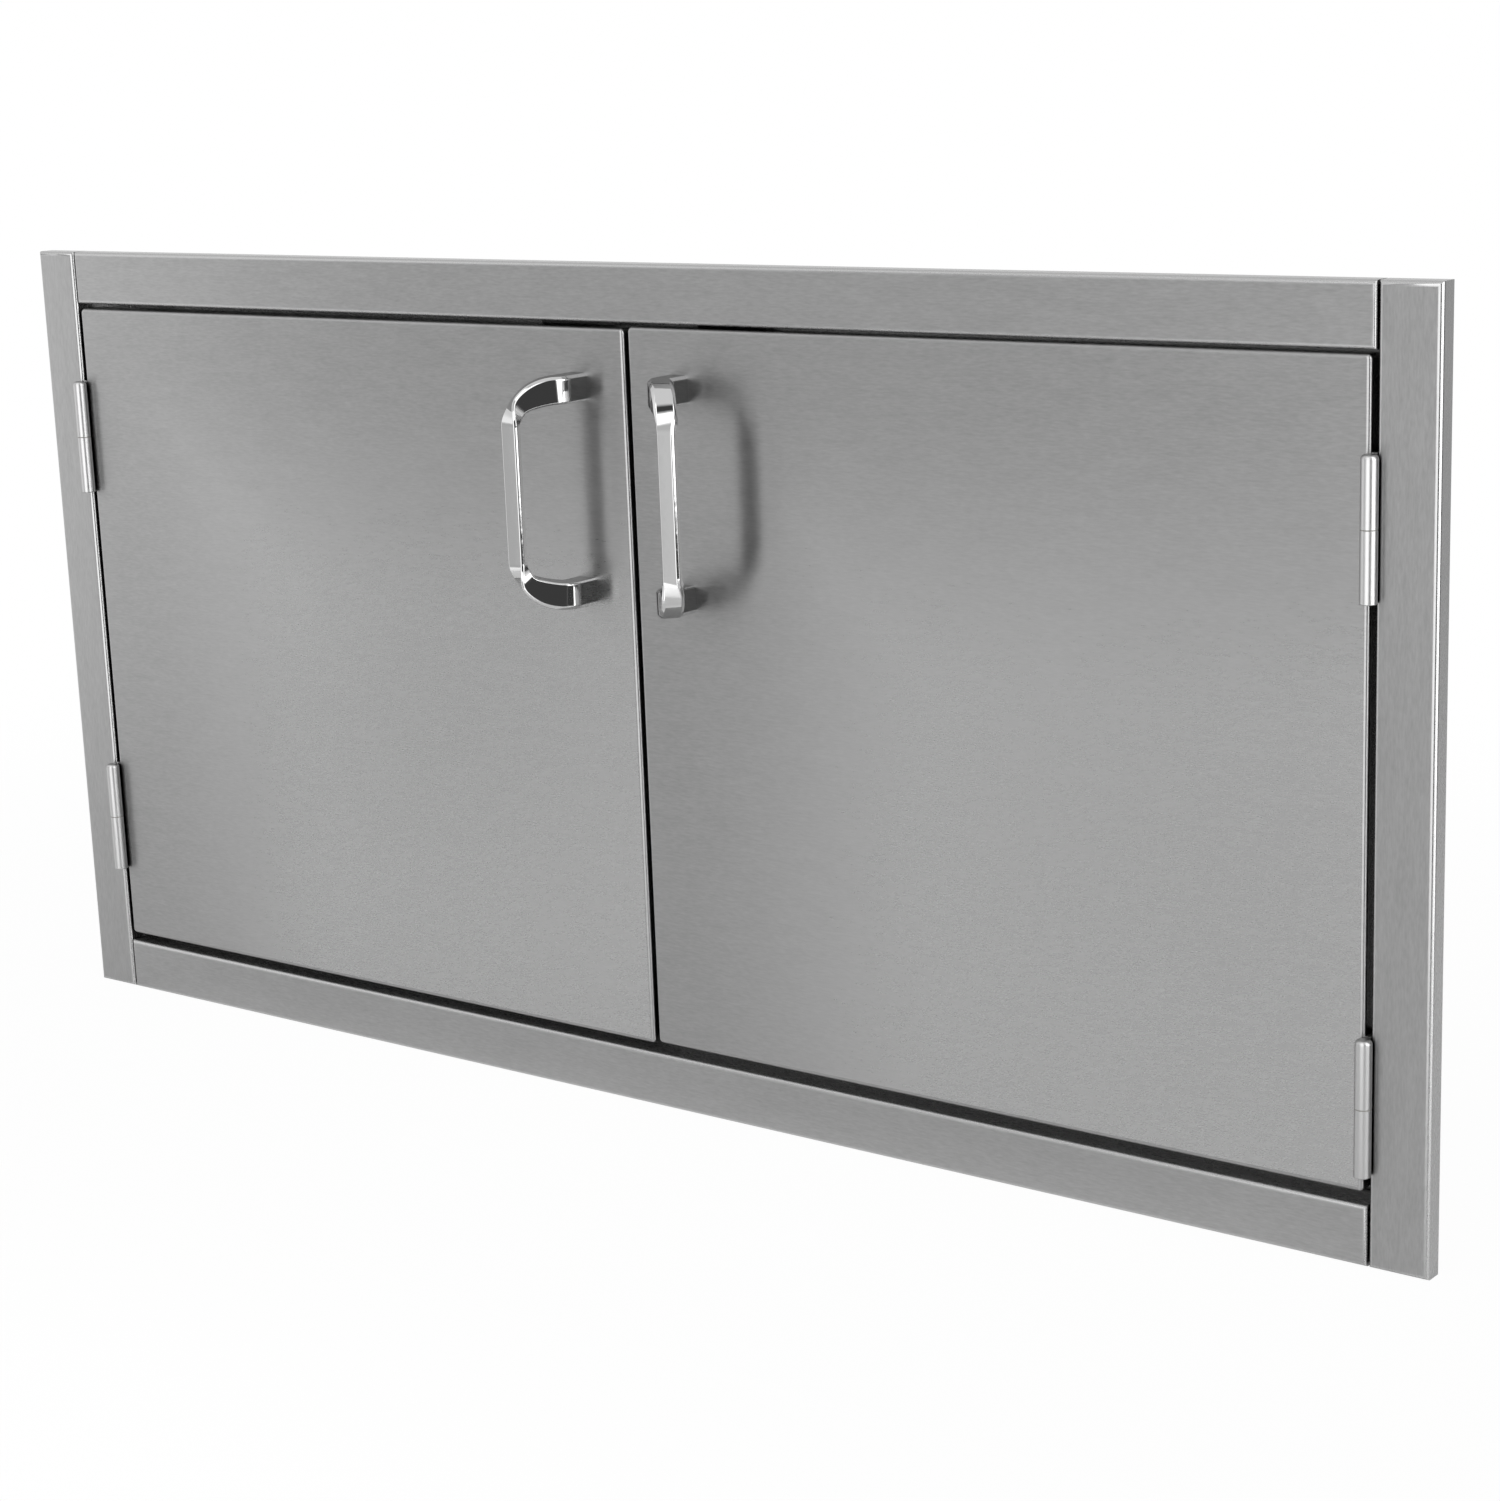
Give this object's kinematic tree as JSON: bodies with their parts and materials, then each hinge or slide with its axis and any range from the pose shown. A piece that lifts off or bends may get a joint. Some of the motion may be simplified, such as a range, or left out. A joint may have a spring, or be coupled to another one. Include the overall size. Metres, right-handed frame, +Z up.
{
  "type": "bbq island access door",
  "caption": "Wide double access door for an outdoor kitchen island: brushed steel trim frame with a wall sleeve, flush doors on lift-off hinges, offset pull handles and magnet catches.",
  "frame": {"origin": "middle of the wall cut-out, in the plane of the island's face, which is the plane of the trim's back edges", "axes": "+X to the right along the length, +Y into the island, +Z up; the doors face -Y"},
  "size_m": [1.0668, 0.0917, 0.5334],
  "materials": {
    "trim_steel": "brushed along its length",
    "door_steel": "brushed from side to side",
    "liner_steel": "brushed",
    "bracket_steel": "mill finish",
    "hinge_steel": "satin",
    "fastener_steel": "satin",
    "plate_steel": "zinc plated",
    "handle_chrome": "polished chrome plate",
    "catch_plastic": "moulded",
    "magnet_ferrite": "sintered",
    "bumper_rubber": "matt",
    "plug_plastic": "moulded",
    "washer_nylon": "moulded"
  },
  "bodies": {
    "frame": {"left_stile": "trim_steel", "right_stile": "trim_steel", "top_rail": "trim_steel", "bottom_rail": "trim_steel", "top_left_corner_angle": "bracket_steel", "top_right_corner_angle": "bracket_steel", "bottom_left_corner_angle": "bracket_steel", "bottom_right_corner_angle": "bracket_steel", "left_upper_frame_leaf": "hinge_steel", "left_lower_frame_leaf": "hinge_steel", "left_upper_hinge_pin": "hinge_steel", "left_lower_hinge_pin": "hinge_steel", "left_catch_housing": "catch_plastic", "left_catch_magnet": "magnet_ferrite", "left_catch_poles": "plate_steel", "left_stop_strip": "bracket_steel", "left_bumper": "bumper_rubber", "right_upper_frame_leaf": "hinge_steel", "right_lower_frame_leaf": "hinge_steel", "right_upper_hinge_pin": "hinge_steel", "right_lower_hinge_pin": "hinge_steel", "right_catch_housing": "catch_plastic", "right_catch_magnet": "magnet_ferrite", "right_catch_poles": "plate_steel", "right_stop_strip": "bracket_steel", "right_bumper": "bumper_rubber", "hinge_washers": "washer_nylon", "frame_hinge_rivets": "fastener_steel", "catch_screws": "fastener_steel", "stop_strip_rivets": "fastener_steel"},
    "left_door": {"left_door_panel": "door_steel", "left_door_liner": "liner_steel", "left_door_stiffener": "bracket_steel", "left_handle": "handle_chrome", "left_handle_screws": "fastener_steel", "left_liner_plugs": "plug_plastic", "left_strike_plate": "plate_steel", "left_strike_rivets": "fastener_steel", "left_upper_door_leaf": "hinge_steel", "left_lower_door_leaf": "hinge_steel", "left_hinge_rivets": "fastener_steel"},
    "right_door": {"right_door_panel": "door_steel", "right_door_liner": "liner_steel", "right_door_stiffener": "bracket_steel", "right_handle": "handle_chrome", "right_handle_screws": "fastener_steel", "right_liner_plugs": "plug_plastic", "right_strike_plate": "plate_steel", "right_strike_rivets": "fastener_steel", "right_upper_door_leaf": "hinge_steel", "right_lower_door_leaf": "hinge_steel", "right_hinge_rivets": "fastener_steel"}
  },
  "joints": [
    {"name": "left_door_hinge", "type": "hinge", "parent": "frame", "child": "left_door", "pos_m": [-0.4962, -0.0169, 0], "axis": [0, 0, -1], "range_deg": [0, 175]},
    {"name": "right_door_hinge", "type": "hinge", "parent": "frame", "child": "right_door", "pos_m": [0.4962, -0.0169, 0], "axis": [0, 0, 1], "range_deg": [0, 175]}
  ]
}
